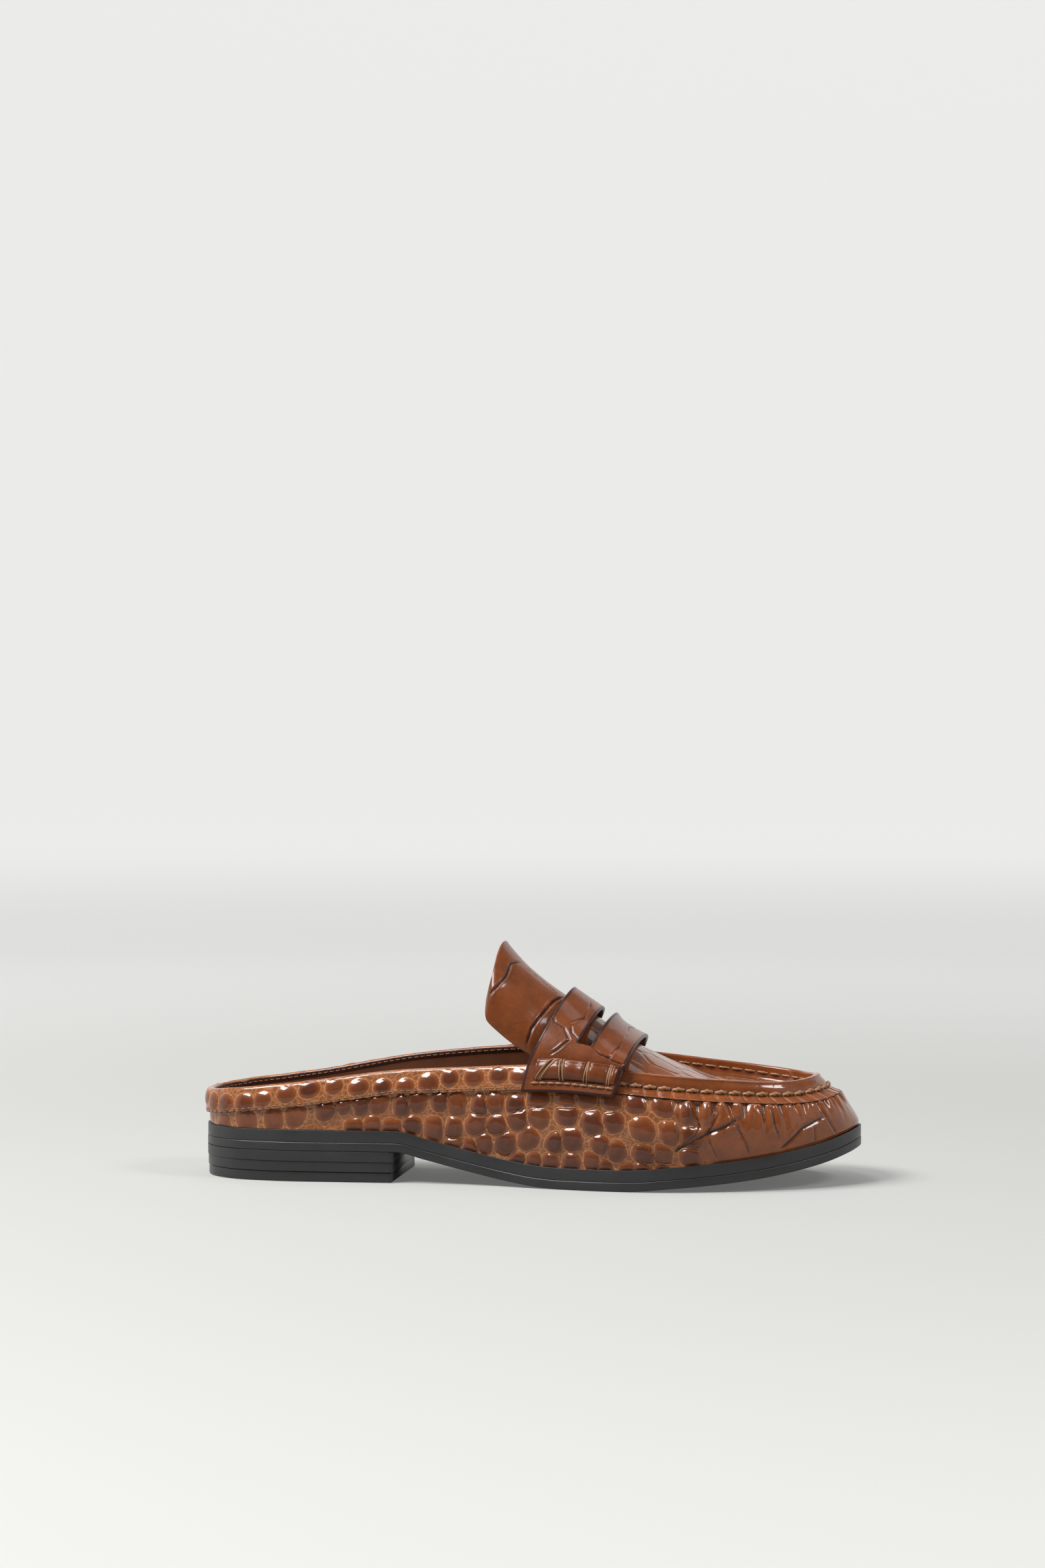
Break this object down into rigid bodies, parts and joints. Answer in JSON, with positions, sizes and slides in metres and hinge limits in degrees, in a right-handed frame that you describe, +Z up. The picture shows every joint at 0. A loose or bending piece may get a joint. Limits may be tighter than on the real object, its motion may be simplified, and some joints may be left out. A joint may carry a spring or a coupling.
{
  "type": "loafer mule",
  "caption": "Backless penny loafer with a low collar, sunk plug with raised seam, free tongue, slotted saddle strap and low stacked heel; right shoe.",
  "frame": {"origin": "centre of the shoe's bounding box on the floor it stands on", "axes": "+X from heel to toe, +Y to the inner (medial) side, +Z up"},
  "size_m": [0.2626, 0.0886, 0.094],
  "materials": {
    "embossed_leather": "glossy crocodile-embossed leather, tan brown with darker scale centres",
    "sole": "black, satin, fine horizontal grinding marks",
    "lining": "brown lining leather, soft satin",
    "thread": "waxed tan-brown sewing thread"
  },
  "bodies": {
    "root": {"outsole": "sole", "midsole": "sole", "heel_lift_upper": "sole", "heel_lift_lower": "sole", "heel_top_piece": "sole", "insole": "lining", "upper": "embossed_leather", "collar_band": "embossed_leather", "tongue": "embossed_leather", "saddle": "embossed_leather", "saddle_roll_lateral": "embossed_leather", "saddle_roll_medial": "embossed_leather"}
  },
  "joints": []
}
